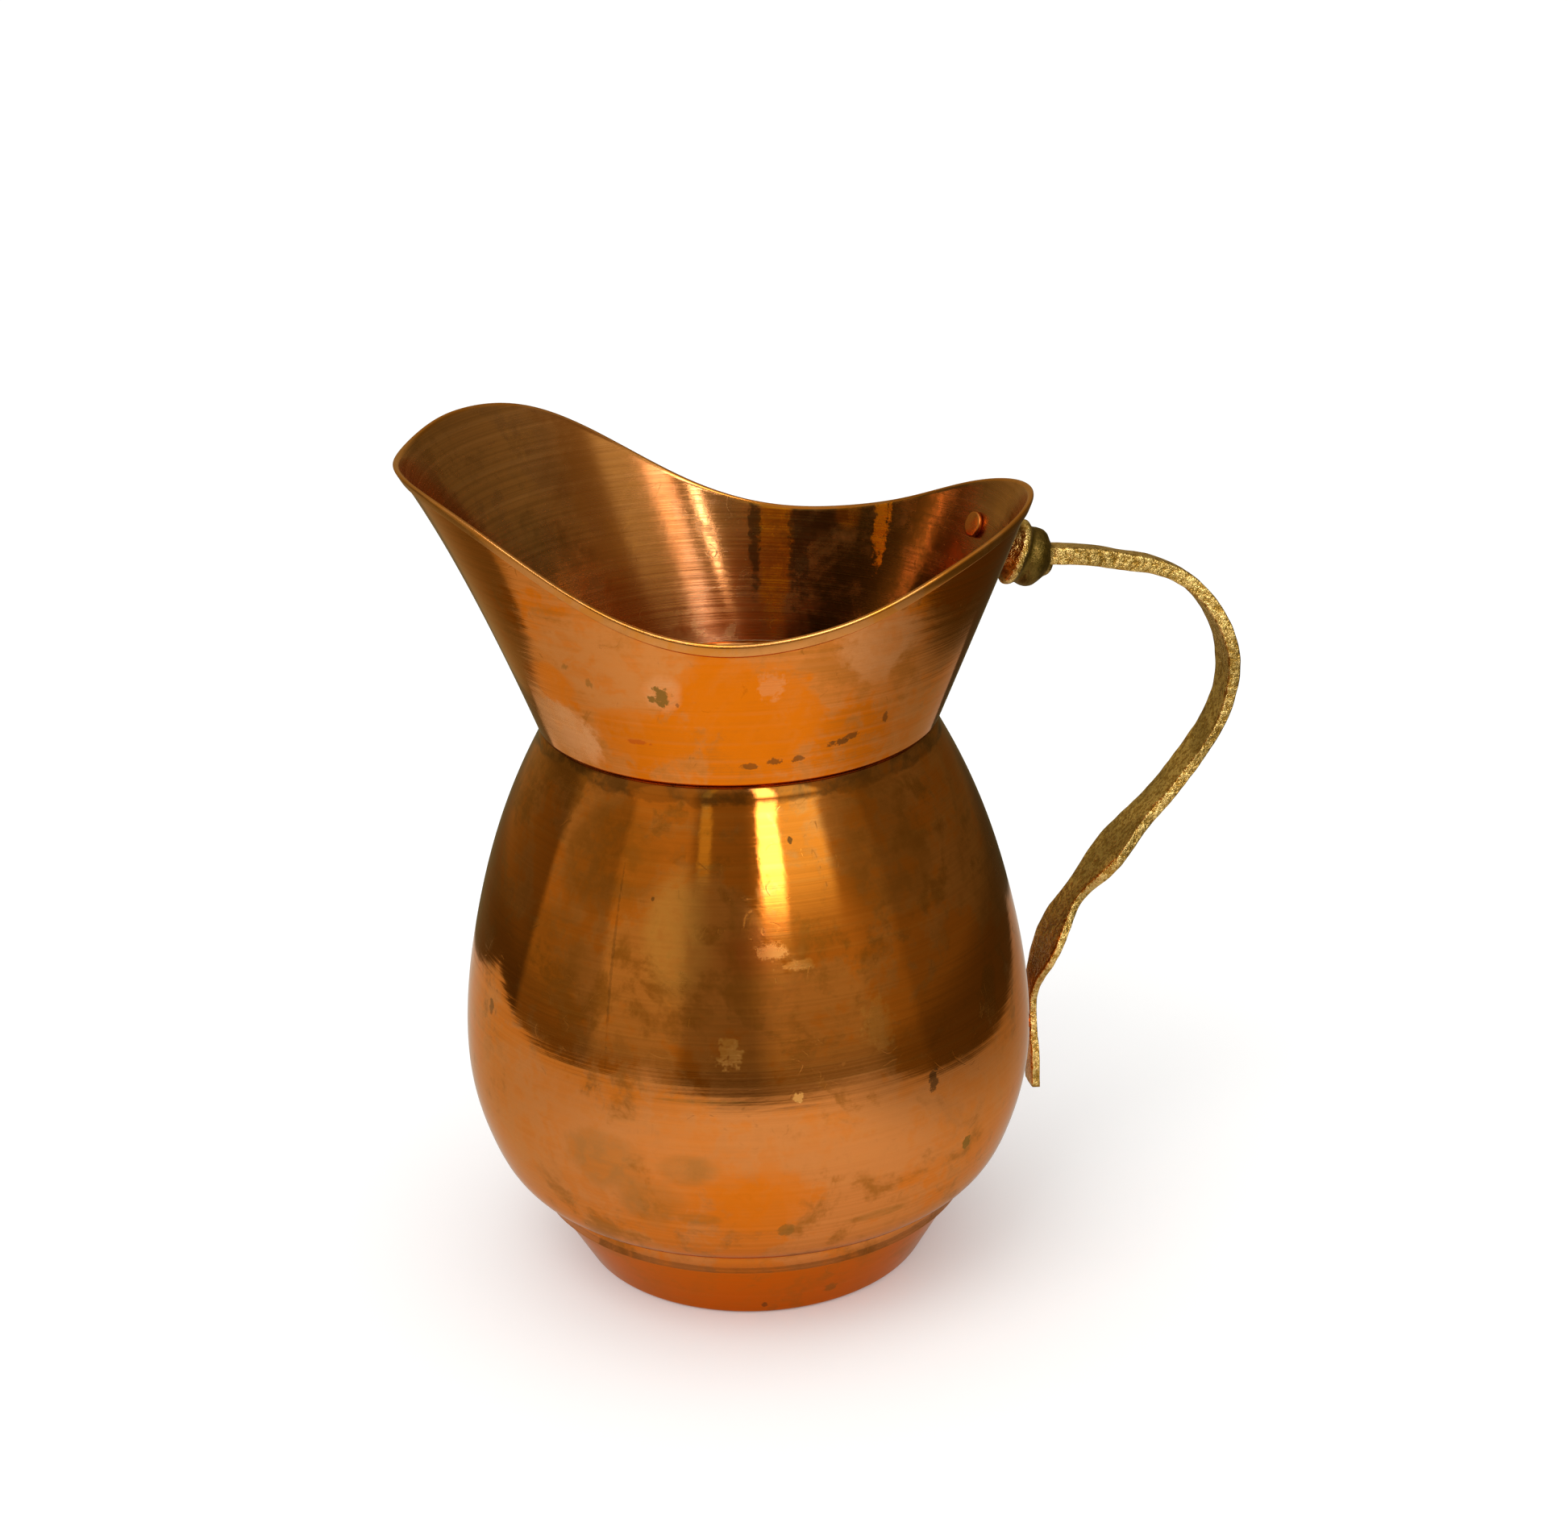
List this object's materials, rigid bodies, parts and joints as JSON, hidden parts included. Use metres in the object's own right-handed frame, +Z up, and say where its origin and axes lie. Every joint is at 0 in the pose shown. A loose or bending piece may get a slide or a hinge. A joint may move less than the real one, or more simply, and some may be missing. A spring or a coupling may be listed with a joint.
{
  "type": "pouring jug",
  "caption": "Pear-shaped sheet-copper jug with a flared oval collar, swept pouring lip, tapered foot and a riveted S-curved cast brass strap handle.",
  "frame": {"origin": "centre of the foot, on the plane the jug stands on", "axes": "+Z up along the axis of the round body and foot, +X towards the handle, +Y to the left when looking along +X"},
  "size_m": [0.1722, 0.12, 0.1772],
  "materials": {
    "copper_body": "spun sheet copper, polished outside, dulled by handling",
    "copper_collar": "spun sheet copper, polished, brown tarnish inside",
    "copper_foot": "spun sheet copper, polished",
    "copper_floor": "sheet copper, tarnished",
    "cast_brass": "cast brass, fine sand-cast grain, olive tarnish",
    "copper_rivet": "flat hammered copper rivet head",
    "solder": "dull tin solder"
  },
  "bodies": {
    "root": {"body_bulb": "copper_body", "neck_collar": "copper_collar", "foot_ring": "copper_foot", "floor_disc": "copper_floor", "handle": "cast_brass", "upper_rivet": "copper_rivet", "lower_rivet": "copper_rivet", "neck_solder": "solder", "foot_solder": "solder", "floor_solder": "solder"}
  },
  "joints": []
}
